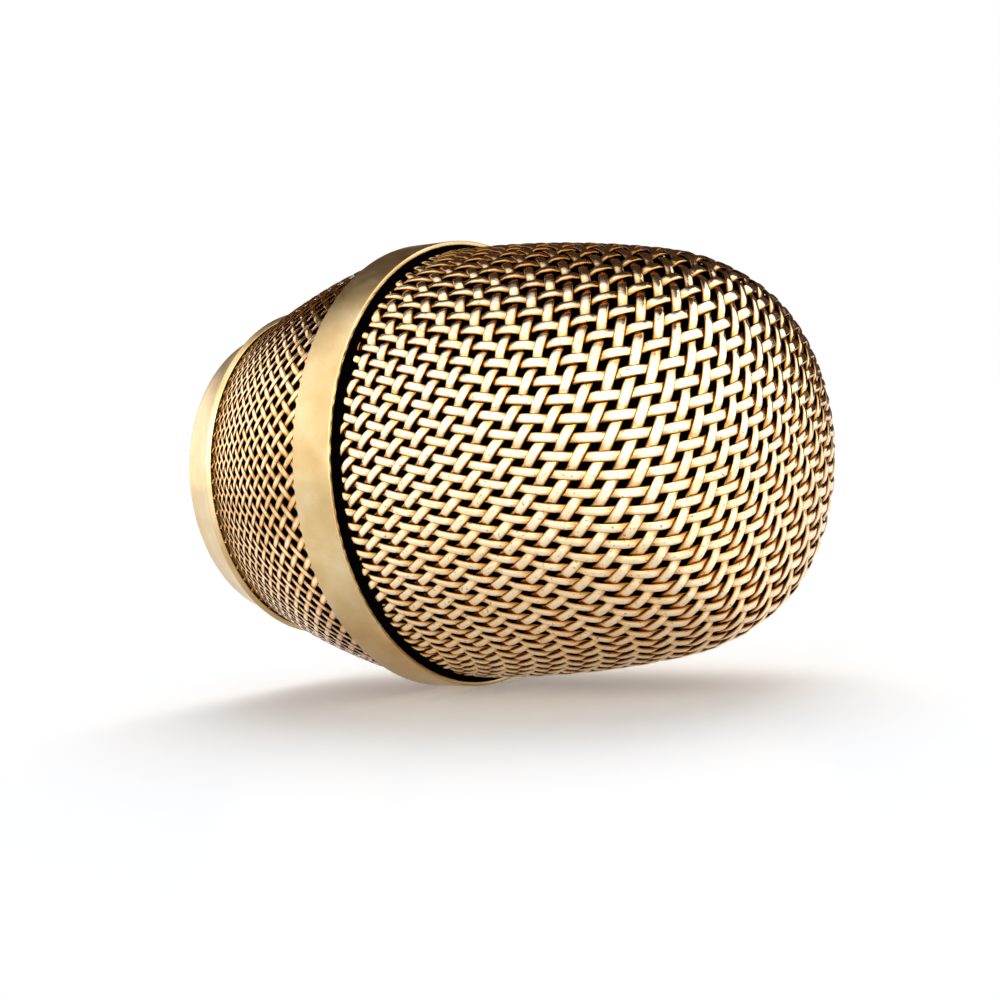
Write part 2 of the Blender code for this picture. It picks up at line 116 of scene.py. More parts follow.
# How the dome's woven sheet is drawn over the form. The phase of a family of wires grows by one
# from wire to wire. It is a sum of waves round the axis: (waves round, power of the distance over
# the surface from the tip): (cosine, sine) from the reference meridian.
SHEET_SCALE = 30.0 * MM            # one unit of the flattened sheet, over the surface
SHEET_MERIDIAN = math.radians(230.0)
SHEET_EDGE = 2.5                   # the sheet ends this many units from the tip
WARP = {(1, 1): (7.3, -18.1), (1, 2): (-6.3, 6.1), (1, 3): (2.1, -1.4), (0, 2): (3.7, 0.0),
        (0, 3): (-1.13, 0.0), (2, 2): (0.6, 1.0), (2, 3): (-0.17, -0.36), (3, 3): (0.0, 0.2)}
WEFT = {(1, 1): (-8.4, -17.2), (1, 2): (-1.6, 10.2), (1, 3): (0.55, -2.1), (0, 2): (1.8, 0.0),
        (0, 3): (-0.74, 0.0), (2, 2): (0.0, -0.6), (2, 3): (0.15, 0.17), (3, 3): (0.03, -0.2)}
MOST_WIRES = 30                    # no wire is numbered higher from the tip than this
DOME_WIRE_WIDTH = 1.24 * MM        # at its widest
DOME_WIRE_SHARE = 0.292            # largest half width over spacing
DOME_WIRE_THICKNESS = 0.34 * MM
WIRE_SAMPLES = 6                   # sections of a wire from one crossing to the next
DIP_PAINTED_SHADE = 0.16                 # how much more painted shade a wire gets in its dips, for every half of its crimp

# Linings, and the black sheet of painted shade behind the cone's wires: how far below the wires'
# outer surface their two faces lie.
DOME_LINER_DEPTHS = (1.0 * MM, 1.25 * MM)
DOME_FOAM_DEPTHS = (2.6 * MM, 5.0 * MM)
CONE_SHADE_SHEET_DEPTHS = (0.4 * MM, 0.5 * MM)
CONE_FOAM_DEPTHS = (1.2 * MM, 3.2 * MM)

# The cone's wires: this many each way round, crossing more steeply towards the band.
CONE_WIRES = 66
CONE_CLOSENESS = 0.89 / MM         # crossings' phase per metre of slope at the collar
CONE_EASING = 21.0 * MM            # distance over which it falls by a factor of e
CONE_WIRE_FLATNESS = 0.055         # thickness over spacing
CONE_WIRE_THICKNESS = 0.06 * MM    # at its thickest
CONE_WIRE_SHARE = 0.19             # half width over spacing, between the crossings at the collar
CONE_BAND_SHARE = 0.03             # how much that grows to the band
CONE_CROSSING_SHARE = 0.05         # and how much at the crossings


# Camera, floor and light --------------------------------------------------------------------
CENTRE = Vector((0.0, 0.0, AXIS_Z))
CAMERA_PLACE = Vector((172.1 * MM, -224.3 * MM, 32.9 * MM))
CAMERA_AZIMUTH = math.radians(38.07)
CAMERA_DIP = math.radians(2.36)
CAMERA_ROLL = math.radians(4.28)
CAMERA_LENS = 90.0
LIGHT_DISTANCE = 0.9
LIGHT_DIRECTION = (0.0, -0.906, 0.423)
LIT_ROOM = (1.8, 1.78, 1.76, 1.0)      # what polished metal sees towards LIGHT_DIRECTION
DARK_ROOM = (0.05, 0.022, 0.008, 1.0)  # and away from it
MATT_ROOM = (0.39, 0.41, 0.44, 1.0)    # what lights matt surfaces
SEEN_ROOM = (1.0, 1.0, 1.0, 1.0)       # what the camera sees


def make_camera():
    camera = bpy.data.objects.new("camera", bpy.data.cameras.new("camera"))
    camera.data.lens = CAMERA_LENS
    camera.data.sensor_width = 36.0
    camera.data.clip_start = 0.01
    camera.data.clip_end = 20.0
    camera.location = CAMERA_PLACE
    turn = Euler((math.pi / 2 - CAMERA_DIP, 0.0, CAMERA_AZIMUTH)).to_matrix()
    roll = Euler((0.0, 0.0, -CAMERA_ROLL)).to_matrix()
    camera.rotation_euler = (turn @ roll).to_euler()
    bpy.context.scene.collection.objects.link(camera)
    bpy.context.scene.camera = camera


def soft_light(name, azimuth, elevation, width, height, radiance, colour=(1.0, 1.0, 1.0)):
    """A rectangular soft light that faces the head and shows in reflections only. Azimuth is 0
    at -Y, where LIGHT_DIRECTION comes from, and grows towards +X; the camera stands near 38.
    Radiance is what a mirror would show."""
    data = bpy.data.lights.new(name, "AREA")
    data.shape = "RECTANGLE"
    data.size = width
    data.size_y = height
    data.energy = radiance * math.pi * width * height
    data.color = colour
    light = bpy.data.objects.new(name, data)
    a, e = math.radians(azimuth), math.radians(elevation)
    back = Vector((math.sin(a) * math.cos(e), -math.cos(a) * math.cos(e), math.sin(e)))
    light.location = CENTRE + back * LIGHT_DISTANCE
    light.rotation_euler = back.to_track_quat("Z", "Y").to_euler()
    light.visible_camera = False
    light.visible_diffuse = False
    bpy.context.scene.collection.objects.link(light)


def floor_light(azimuth, elevation, strength):
    """Even light from above and behind. It gives the floor its brightness and soft shadow, and
    shows in no reflection. Angles are as in soft_light."""
    light = bpy.data.objects.new("floor_light", bpy.data.lights.new("floor_light", "SUN"))
    light.data.energy = strength
    light.data.angle = math.radians(48.0)
    light.rotation_euler = (math.radians(90.0 - elevation), 0.0, math.radians(azimuth))
    light.visible_glossy = False
    bpy.context.scene.collection.objects.link(light)


def make_world():
    """A room that the camera sees as white, that lights matt surfaces softly, and that polished
    metal sees as one broad light from LIGHT_DIRECTION, dark brown elsewhere."""
    world = bpy.data.worlds.new("studio")
    bpy.context.scene.world = world
    world.use_nodes = True
    tree = world.node_tree
    tree.nodes.clear()
    place = tree.nodes.new("ShaderNodeTexCoord")
    toward = tree.nodes.new("ShaderNodeVectorMath")
    toward.operation = "DOT_PRODUCT"
    toward.inputs[1].default_value = LIGHT_DIRECTION
    ramp = tree.nodes.new("ShaderNodeValToRGB")
    path = tree.nodes.new("ShaderNodeLightPath")
    mix = tree.nodes.new("ShaderNodeMix")
    mix.data_type = "RGBA"
    scale = tree.nodes.new("ShaderNodeMix")
    scale.data_type = "RGBA"
    background = tree.nodes.new("ShaderNodeBackground")
    output = tree.nodes.new("ShaderNodeOutputWorld")
    tree.links.new(place.outputs["Generated"], toward.inputs[0])
    tree.links.new(toward.outputs["Value"], ramp.inputs[0])
    tree.links.new(ramp.outputs[0], scale.inputs[0])
    scale.inputs[6].default_value = DARK_ROOM
    scale.inputs[7].default_value = LIT_ROOM
    tree.links.new(path.outputs["Is Glossy Ray"], mix.inputs[0])
    mix.inputs[6].default_value = MATT_ROOM
    tree.links.new(scale.outputs[2], mix.inputs[7])
    seen = tree.nodes.new("ShaderNodeMix")
    seen.data_type = "RGBA"
    seen.inputs[7].default_value = SEEN_ROOM
    tree.links.new(path.outputs["Is Camera Ray"], seen.inputs[0])
    tree.links.new(mix.outputs[2], seen.inputs[6])
    tree.links.new(seen.outputs[2], background.inputs[0])
    tree.links.new(background.outputs[0], output.inputs[0])
    ramp.color_ramp.interpolation = "EASE"
    stops = ramp.color_ramp.elements
    stops[0].position, stops[0].color = 0.10, (0.0, 0.0, 0.0, 1.0)
    stops[1].position, stops[1].color = 0.62, (1.0, 1.0, 1.0, 1.0)


def make_floor():
    half = 4.0
    mesh = bpy.data.meshes.new("floor")
    mesh.from_pydata([(-half, -half, 0), (half, -half, 0), (half, half, 0), (-half, half, 0)], [],
                     [(0, 1, 2, 3)])
    floor = bpy.data.objects.new("floor", mesh)
    bpy.context.scene.collection.objects.link(floor)
    material = bpy.data.materials.new("floor")
    material.use_nodes = True
    tree = material.node_tree
    tree.nodes.clear()
    matt = tree.nodes.new("ShaderNodeBsdfDiffuse")
    matt.inputs["Color"].default_value = (0.88, 0.88, 0.88, 1.0)
    glow = tree.nodes.new("ShaderNodeEmission")
    glow.inputs["Strength"].default_value = 0.22
    polish = tree.nodes.new("ShaderNodeBsdfGlossy")
    polish.inputs["Color"].default_value = (0.11, 0.11, 0.11, 1.0)
    polish.inputs["Roughness"].default_value = 0.16
    lit, whole = tree.nodes.new("ShaderNodeAddShader"), tree.nodes.new("ShaderNodeAddShader")
    output = tree.nodes.new("ShaderNodeOutputMaterial")
    tree.links.new(matt.outputs[0], lit.inputs[0])
    tree.links.new(glow.outputs[0], lit.inputs[1])
    tree.links.new(lit.outputs[0], whole.inputs[0])
    tree.links.new(polish.outputs[0], whole.inputs[1])
    tree.links.new(whole.outputs[0], output.inputs[0])
    mesh.materials.append(material)


def make_studio():
    make_camera()
    make_world()
    make_floor()
    soft_light("front_light", azimuth=38.0, elevation=20.0, width=1.2, height=0.62, radiance=2.6,
               colour=(1.0, 0.99, 0.97))
    soft_light("left_light", azimuth=-92.0, elevation=12.0, width=0.62, height=0.55, radiance=1.9)
    soft_light("right_light", azimuth=112.0, elevation=30.0, width=1.5, height=1.4, radiance=2.1)
    floor_light(azimuth=206.0, elevation=62.0, strength=0.85)
    floor_light(azimuth=212.0, elevation=40.0, strength=1.25)
    view = bpy.context.scene.view_settings
    view.view_transform = "Standard"
    view.look = "None"


# Materials ----------------------------------------------------------------------------------
class Look:
    """A small builder of node materials. Everything is laid out in the object's own space."""

    def __init__(self, name, colour, roughness, metallic=0.0):
        self.material = bpy.data.materials.new(name)
        self.material.use_nodes = True
        self.tree = self.material.node_tree
        self.shader = self.tree.nodes["Principled BSDF"]
        self.shader.inputs["Base Color"].default_value = (*colour, 1.0)
        self.shader.inputs["Roughness"].default_value = roughness
        self.shader.inputs["Metallic"].default_value = metallic
        self.place = self.tree.nodes.new("ShaderNodeTexCoord").outputs["Object"]
        self.height = None

    def node(self, kind, **values):
        made = self.tree.nodes.new(kind)
        for key, value in values.items():
            setattr(made, key, value)
        return made

    def noise(self, size, detail=3.0, stretch=(1.0, 1.0, 1.0)):
        """Noise between 0 and 1 with features of about that size in metres."""
        mapping = self.node("ShaderNodeMapping")
        mapping.inputs["Scale"].default_value = [k / size for k in stretch]
        texture = self.node("ShaderNodeTexNoise")
        texture.inputs["Scale"].default_value = 1.0
        texture.inputs["Detail"].default_value = detail
        self.tree.links.new(self.place, mapping.inputs[0])
        self.tree.links.new(mapping.outputs[0], texture.inputs["Vector"])
        return texture.outputs[0]

    def ramp(self, value, *stops):
        """Stops are (position, colour or grey)."""
        ramp = self.node("ShaderNodeValToRGB")
        elements = ramp.color_ramp.elements
        while len(elements) < len(stops):
            elements.new(0.5)
        for element, (position, colour) in zip(elements, stops):
            colour = colour if hasattr(colour, "__len__") else (colour,) * 3
            element.position, element.color = position, (*colour, 1.0)
        self.tree.links.new(value, ramp.inputs[0])
        return ramp.outputs[0]

    def mix(self, factor, first, second, kind="MIX"):
        mix = self.node("ShaderNodeMix", data_type="RGBA", blend_type=kind)
        for socket, value in ((mix.inputs[0], factor), (mix.inputs[6], first),
                              (mix.inputs[7], second)):
            if isinstance(value, (int, float)):
                socket.default_value = value
            elif hasattr(value, "__len__"):
                socket.default_value = (*value, 1.0)
            else:
                self.tree.links.new(value, socket)
        return mix.outputs[2]

    def colour(self, value):
        self.tree.links.new(value, self.shader.inputs["Base Color"])
        return self

    def roughness(self, value, low, high):
        spread = self.node("ShaderNodeMapRange")
        spread.inputs["To Min"].default_value = low
        spread.inputs["To Max"].default_value = high
        self.tree.links.new(value, spread.inputs["Value"])
        self.tree.links.new(spread.outputs[0], self.shader.inputs["Roughness"])
        return self

    def bump(self, value, depth):
        """Add relief of that depth in metres, on top of any bump made before."""
        bump = self.node("ShaderNodeBump")
        bump.inputs["Strength"].default_value = 1.0
        bump.inputs["Distance"].default_value = depth
        self.tree.links.new(value, bump.inputs["Height"])
        if self.height is not None:
            self.tree.links.new(self.height, bump.inputs["Normal"])
        self.height = bump.outputs[0]
        self.tree.links.new(self.height, self.shader.inputs["Normal"])
        return self


def gold_satin():
    """Bead-blasted and lacquered: cloudy tone, fine grain."""
    look = Look("gold_satin", (0.62, 0.45, 0.22), 0.3, 1.0)
    clouds = look.noise(5.0 * MM, 4.0)
    grain = look.noise(0.16 * MM, 2.0)
    tone = look.ramp(clouds, (0.3, (0.55, 0.37, 0.16)), (0.5, (0.62, 0.45, 0.22)),
                     (0.68, (0.69, 0.54, 0.31)))
    look.colour(look.mix(0.12, tone, look.ramp(grain, (0.35, 0.55), (0.65, 1.0)), "MULTIPLY"))
    look.roughness(look.noise(2.0 * MM, 5.0), 0.24, 0.40)
    return look.bump(grain, 0.006 * MM).bump(look.noise(0.9 * MM), 0.01 * MM).material


def gold_wire(name, size, deep, pale):
    """Drawn and pressed wire: polished crowns, painted shade on sides and dips, small dark pits."""
    look = Look(name, pale, 0.16, 1.0)
    pits = look.ramp(look.noise(0.35 * size, 2.0), (0.30, 0.25), (0.37, 1.0))
    clouds = look.ramp(look.noise(4.0 * size, 3.0), (0.35, deep), (0.65, pale))
    depth = look.node("ShaderNodeAttribute", attribute_name="depth").outputs["Fac"]
    # painted shade: the depth mask darkens the wires' sides, undersides and dips towards deep brown
    painted_shade = look.ramp(depth, (0.12, (1.0, 1.0, 1.0)), (0.34, (0.80, 0.56, 0.28)),
                        (0.66, (0.20, 0.09, 0.02)))
    gold = look.mix(1.0, clouds, painted_shade, "MULTIPLY")
    look.colour(look.mix(0.75, gold, pits, "MULTIPLY"))
    look.roughness(look.noise(1.3 * size, 4.0), 0.08, 0.27)
    return look.bump(look.noise(0.5 * size, 3.0), 0.025 * size).material


def turned_metal(name, colour, dark, roughness):
    """Machined metal with fine turning marks round the axis."""
    look = Look(name, colour, roughness, 1.0)
    marks = look.noise(0.12 * MM, 2.0, (1.0, 0.03, 0.03))
    stains = look.noise(3.0 * MM, 3.0)
    look.colour(look.ramp(stains, (0.3, dark), (0.65, colour)))
    look.roughness(stains, roughness * 0.8, roughness * 1.3)
    return look.bump(marks, 0.006 * MM).material


def moulded(name, colour, dark, roughness):
    """Moulded plastic or rubber with a fine eroded grain."""
    look = Look(name, colour, roughness)
    texture = look.noise(0.25 * MM, 2.0)
    look.colour(look.ramp(look.noise(4.0 * MM, 3.0), (0.3, dark), (0.7, colour)))
    look.roughness(texture, roughness * 0.85, min(1.0, roughness * 1.2))
    return look.bump(texture, 0.012 * MM).material


def open_foam():
    """Open-cell foam: rough black cells, with painted shade in their sunken pores."""
    look = Look("foam", (0.012, 0.012, 0.012), 0.95)
    cells = look.node("ShaderNodeTexVoronoi")
    cells.inputs["Scale"].default_value = 1.0 / (0.7 * MM)
    look.tree.links.new(look.place, cells.inputs["Vector"])
    # painted shade: the cells' sunken middles are coloured darker
    look.colour(look.ramp(cells.outputs["Distance"], (0.15, 0.002), (0.6, 0.02)))
    look.roughness(cells.outputs["Distance"], 0.85, 1.0)
    return look.bump(cells.outputs["Distance"], 0.3 * MM).material


def black_screen():
    """Fine black mesh: a nearly black grain that throws no light back through the wires, with
    painted shade in each cell's sunken middle.
    """
    look = Look("black_screen", (0.001, 0.001, 0.001), 0.9)
    look.shader.inputs["Specular IOR Level"].default_value = 0.0
    cells = look.node("ShaderNodeTexVoronoi")
    cells.inputs["Scale"].default_value = 1.0 / (0.25 * MM)
    look.tree.links.new(look.place, cells.inputs["Vector"])
    # painted shade: each cell darkens towards its sunken middle
    look.colour(look.ramp(cells.outputs["Distance"], (0.1, 0.0002), (0.6, 0.002)))
    look.roughness(cells.outputs["Distance"], 0.8, 1.0)
    return look.bump(cells.outputs["Distance"], 0.06 * MM).material


def circuit_board():
    """Dark solder mask over faint copper."""
    look = Look("circuit_board", (0.012, 0.06, 0.03), 0.35)
    copper = look.noise(1.6 * MM, 0.0)
    look.colour(look.ramp(copper, (0.46, (0.006, 0.035, 0.018)), (0.5, (0.014, 0.075, 0.036))))
    look.roughness(look.noise(0.5 * MM), 0.25, 0.45)
    return look.bump(look.ramp(copper, (0.46, 0.0), (0.5, 1.0)), 0.03 * MM).material


def cloth():
    """Thin grey woven cloth, with painted shade in the grooves between its threads."""
    look = Look("cloth", (0.10, 0.10, 0.10), 0.9)
    weave = look.node("ShaderNodeTexWave", bands_direction="Y")
    weave.inputs["Scale"].default_value = 1.0 / (1.6 * MM)
    look.tree.links.new(look.place, weave.inputs["Vector"])
    # painted shade: the weave's sunken grooves are coloured darker
    look.colour(look.ramp(weave.outputs["Fac"], (0.2, 0.05), (0.8, 0.13)))
    look.roughness(weave.outputs["Fac"], 0.8, 1.0)
    return look.bump(weave.outputs["Fac"], 0.05 * MM).material


def gold_film():
    """Stretched film with a thin coat of gold, rippled very slightly."""
    look = Look("gold_film", (0.95, 0.78, 0.42), 0.12, 1.0)
    ripple = look.noise(2.5 * MM, 2.0)
    look.colour(look.ramp(ripple, (0.3, (0.90, 0.70, 0.34)), (0.7, (0.98, 0.84, 0.52))))
    look.roughness(ripple, 0.08, 0.16)
    return look.bump(ripple, 0.02 * MM).material


def make_materials():
    return {
        "gold_satin": gold_satin(),
        "gold_wire_dome": gold_wire("gold_wire_dome", 1.0 * MM, (0.96, 0.76, 0.48),
                                    (1.0, 0.86, 0.64)),
        "gold_wire_cone": gold_wire("gold_wire_cone", 0.6 * MM, (0.78, 0.54, 0.26),
                                    (0.96, 0.76, 0.48)),
        "gold_contact": turned_metal("gold_contact", (0.98, 0.78, 0.36), (0.85, 0.62, 0.25), 0.18),
        "brass": turned_metal("brass", (0.72, 0.55, 0.28), (0.55, 0.40, 0.18), 0.32),
        "capsule_brass": turned_metal("capsule_brass", (0.80, 0.64, 0.36), (0.66, 0.50, 0.25),
                                      0.28),
        "screw_steel": turned_metal("screw_steel", (0.62, 0.61, 0.58), (0.42, 0.41, 0.39), 0.28),
        "black_screen": black_screen(),
        "foam": open_foam(),
        "rubber": moulded("rubber", (0.03, 0.03, 0.03), (0.018, 0.018, 0.018), 0.75),
        "black_plastic": moulded("black_plastic", (0.03, 0.03, 0.033), (0.02, 0.02, 0.022), 0.42),
        "component_black": moulded("component_black", (0.025, 0.025, 0.03),
                                   (0.012, 0.012, 0.015), 0.5),
        "white_plastic": moulded("white_plastic", (0.80, 0.80, 0.77), (0.68, 0.67, 0.62), 0.4),
        "washer_plastic": moulded("washer_plastic", (0.72, 0.71, 0.66), (0.60, 0.58, 0.52), 0.38),
        "circuit_board": circuit_board(),
        "gold_film": gold_film(),
        "lead_red": moulded("lead_red", (0.50, 0.03, 0.02), (0.35, 0.02, 0.015), 0.45),
        "lead_white": moulded("lead_white", (0.78, 0.77, 0.74), (0.62, 0.61, 0.57), 0.45),
        "cloth": cloth(),
    }


# Turned shapes ------------------------------------------------------------------------------
def rounded(outline, edge):
    """A closed outline with each corner eased by a small curve that starts edge before it."""
    eased = []
    count = len(outline)
    segments = 4
    for k, corner in enumerate(outline):
        corner = Vector(corner)
        before, after = Vector(outline[k - 1]) - corner, Vector(outline[(k + 1) % count]) - corner
        if before.angle(after) > math.radians(160.0):
            eased.append(tuple(corner))
            continue
        start = corner + before.normalized() * min(edge, 0.45 * before.length)
        end = corner + after.normalized() * min(edge, 0.45 * after.length)
        for step in range(segments + 1):
            t = step / segments
            eased.append(tuple(start * (1 - t) ** 2 + corner * 2 * t * (1 - t) + end * t * t))
    return eased


def subdivided(outline, longest):
    """The closed outline with extra points, no further apart than longest."""
    fine = []
    for (s1, r1), (s2, r2) in zip(outline, outline[1:] + outline[:1]):
        parts = max(1, math.ceil(math.hypot(s2 - s1, r2 - r1) / longest))
        fine += [(s1 + (s2 - s1) * k / parts, r1 + (r2 - r1) * k / parts) for k in range(parts)]
    return fine


def place(s, r, angle):
    """Points in the row frame for places along, off and round the axis."""
    return np.stack([BACK_X + s + 0 * angle, r * np.cos(angle), AXIS_Z + r * np.sin(angle)], -1)


def place_piece(name, mesh, body, slot, nodes):
    """Give a mesh its finish, let it move with a body and stand for these CAD nodes."""
    mesh.materials.append(LOOKS[slot])
    piece = bpy.data.objects.new(name, mesh)
    bpy.context.scene.collection.objects.link(piece)
    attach(piece, body)
    if nodes:
        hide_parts(*nodes)
    return piece


def turned(name, outline, steps, body, slot, nodes=(), shape=None):
    """Spin an outline round the axis. Its last point is joined to its first, unless both lie on
    the axis. shape changes r by s, r and angle."""
    ends_on_axis = outline[0][1] == 0.0 and outline[-1][1] == 0.0
    s, r = (np.array(values)[:, None] for values in zip(*outline))
    angle = np.arange(steps)[None, :] * math.tau / steps
    r = r + 0 * angle
    if shape is not None:
        r = shape(s, r, angle)
    points = place(s, r, angle)
    rows = len(outline)
    faces = []
    for i in range(rows - 1 if ends_on_axis else rows):
        j = (i + 1) % rows
        for k in range(steps):
            n = (k + 1) % steps
            faces.append((i * steps + k, i * steps + n, j * steps + n, j * steps + k))
    mesh = bpy.data.meshes.new(name)
    mesh.from_pydata(points.reshape(-1, 3).tolist(), [], faces)
    bm = bmesh.new()
    bm.from_mesh(mesh)
    bmesh.ops.remove_doubles(bm, verts=bm.verts, dist=1e-7)
    bmesh.ops.recalc_face_normals(bm, faces=bm.faces)
    bm.to_mesh(mesh)
    bm.free()
    mesh.shade_smooth()
    mesh.set_sharp_from_angle(angle=math.radians(40.0))
    return place_piece(name, mesh, body, slot, nodes)


# Woven wire ---------------------------------------------------------------------------------
# A wire's section: (across, up) in half widths and half thicknesses.
SECTION = [(1.0, 0.0), (0.90, 0.45), (0.64, 0.84), (0.0, 1.0), (-0.64, 0.84), (-0.90, 0.45),
           (-1.0, 0.0), (-0.7, -0.8), (0.7, -0.8)]
FINE_SECTION = [(1.0, 0.0), (0.80, 0.62), (0.0, 1.0), (-0.80, 0.62), (-1.0, 0.0), (-0.6, -0.8),
                (0.6, -0.8)]


def crimp(turns):
    """Height of a wire's middle, from -1 to 1, with pressed crowns where the turns are even. The
    polynomial levels out at both ends, which flattens the crowns and dips."""
    wave = np.cos(math.pi * turns)
    return wave * (1.875 - 1.25 * wave ** 2 + 0.375 * wave ** 4)


def wire_mesh(paths, section, name, slot, nodes):
    """One mesh of many closed wires. Each path is (points, surface normals, half widths, half
    thicknesses, heights from -1 in the dips to 1 on the crowns). The attribute "depth" is 0 on
    top of the crowns and grows towards the wires' sides, undersides and dips: a mask of painted
    shade."""
    sides = len(section)
    across, up = np.array(section).T
    all_points, all_painted_shade, faces, used = [], [], [], 0
    for points, normals, half_width, half_thickness, height in paths:
        count = len(points)
        tangent = np.gradient(points, axis=0)
        side = np.cross(normals, tangent)
        side /= np.linalg.norm(side, axis=1, keepdims=True)
        out = np.cross(tangent, side)
        out /= np.linalg.norm(out, axis=1, keepdims=True)
        ring = (points[:, None, :]
                + side[:, None, :] * (half_width[:, None] * across)[..., None]
                + out[:, None, :] * (half_thickness[:, None] * up)[..., None])
        all_points.append(ring.reshape(-1, 3))
        # painted shade mask: 1 under and beside each wire, more in its dips, 0 on top of the crowns
        depth = 1.0 - np.maximum(up, 0.0)[None, :] + DIP_PAINTED_SHADE * (1.0 - height[:, None])
        all_painted_shade.append(np.minimum(depth, 1.0).ravel())
        first = used + sides * np.arange(count - 1)[:, None]
        here, after = np.arange(sides), (np.arange(sides) + 1) % sides
        quads = np.stack([first + here, first + after, first + sides + after,
                          first + sides + here], -1)
        faces += quads.reshape(-1, 4).tolist()
        faces.append([used + k for k in range(sides)])
        faces.append([used + sides * (count - 1) + k for k in range(sides)][::-1])
        used += sides * count
    mesh = bpy.data.meshes.new(name)
    mesh.from_pydata(np.concatenate(all_points).tolist(), [], faces)
    depth = mesh.attributes.new("depth", "FLOAT", "POINT")
    depth.data.foreach_set("value", np.concatenate(all_painted_shade).astype(np.float32))
    mesh.shade_smooth()
    place_piece(name, mesh, "grille", slot, nodes)


def dome_profile(inset):
    """Distance over the surface from the tip, s, r and the normal's (s, r), for the surface that
    lies inset below the crowns of the wires and dives inwards at the band."""
    s, r, angle = BAND_FRONT + DOME_STRAIGHT, DOME_RADIUS, math.radians(90.0)
    bend = BAND_FRONT + GROOVE_WIDTH
    dive = np.linspace(0.0, 1.0, 12, endpoint=False)
    turn = math.pi / 2 * (1.0 - dive)
    rows = [(bend - GROOVE_WIDTH * GROOVE_REACH * math.sin(t),
             DOME_RADIUS - GROOVE_DEPTH * (1 - math.cos(t)),
             math.pi / 2 + GROOVE_LEAN * t) for t in turn]
    rows += [(bend + (s - bend) * k / 3, DOME_RADIUS, math.pi / 2) for k in range(3)]
    for radius, end in DOME_ARCS:
        end = math.radians(end)
        centre = (s - radius * math.cos(angle), r - radius * math.sin(angle))
        count = max(2, round(radius * (angle - end) / (0.3 * MM)))
        for normal in np.linspace(angle, end, count, endpoint=False):
            rows.append((centre[0] + radius * math.cos(normal),
                         centre[1] + radius * math.sin(normal), normal))
        s, r = centre[0] + radius * math.cos(end), centre[1] + radius * math.sin(end)
        angle = end
    nose = r / math.sin(angle)
    middle = s - nose * math.cos(angle)
    for normal in np.linspace(angle, 0.0, 60):
        rows.append((middle + nose * math.cos(normal), nose * math.sin(normal), normal))
    s, r, normal = np.array(rows[::-1]).T
    length = np.concatenate([[0.0], np.cumsum(np.hypot(np.diff(s), np.diff(r)))])
    out_s, out_r = np.cos(normal), np.sin(normal)
    return length, s - inset * out_s, r - inset * out_r, out_s, out_r


def phase(drape, x, y):
    """Phase of a family of wires at a place of the flattened sheet, and its slopes over x and y."""
    reach, angle = np.hypot(x, y) + 1e-9, np.arctan2(y, x)
    turns = {waves: (np.cos(waves * angle), np.sin(waves * angle)) for waves in (0, 1, 2, 3)}
    value = outward = around = 0.0
    for (waves, power), (cosine, sine) in drape.items():
        c, s = turns[waves]
        below = reach ** (power - 1)
        value = value + below * reach * (cosine * c + sine * s)
        outward = outward + power * below * (cosine * c + sine * s)
        around = around + waves * below * (sine * c - cosine * s)
    c, s = turns[1]
    return value, outward * c - around * s, outward * s + around * c


def find_sheet_places(warp_phase, weft_phase):
    """The flattened places where the families have these phases, found outwards from the tip."""
    x, y = np.zeros_like(warp_phase), np.zeros_like(warp_phase)
    rounds, least_slope, longest_step, close_enough = 36, 1.0, 0.1, 0.01
    for share in np.linspace(1 / rounds, 1.0, rounds):
        for _ in range(2):
            warp, a, b = phase(WARP, x, y)
            weft, c, d = phase(WEFT, x, y)
            miss_warp, miss_weft = warp_phase * share - warp, weft_phase * share - weft
            whole = a * d - b * c
            whole = np.where(np.abs(whole) < least_slope, least_slope, whole)
            step_x = (miss_warp * d - miss_weft * b) / whole
            step_y = (miss_weft * a - miss_warp * c) / whole
            size = np.maximum(1.0, np.hypot(step_x, step_y) / longest_step)
            inside = np.hypot(x, y) < SHEET_EDGE
            x = x + np.where(inside, step_x / size, 0.0)
            y = y + np.where(inside, step_y / size, 0.0)
    miss = np.hypot(phase(WARP, x, y)[0] - warp_phase, phase(WEFT, x, y)[0] - weft_phase)
    return x, y, miss < close_enough


def longest_run(keep):
    """Where the longest unbroken stretch of True starts, and the index just past its end."""
    edges = np.flatnonzero(np.diff(np.concatenate([[0], keep.astype(int), [0]])))
    starts, ends = edges[::2], edges[1::2]
    if not len(starts):
        return 0, 0
    best = np.argmax(ends - starts)
    return starts[best], ends[best]


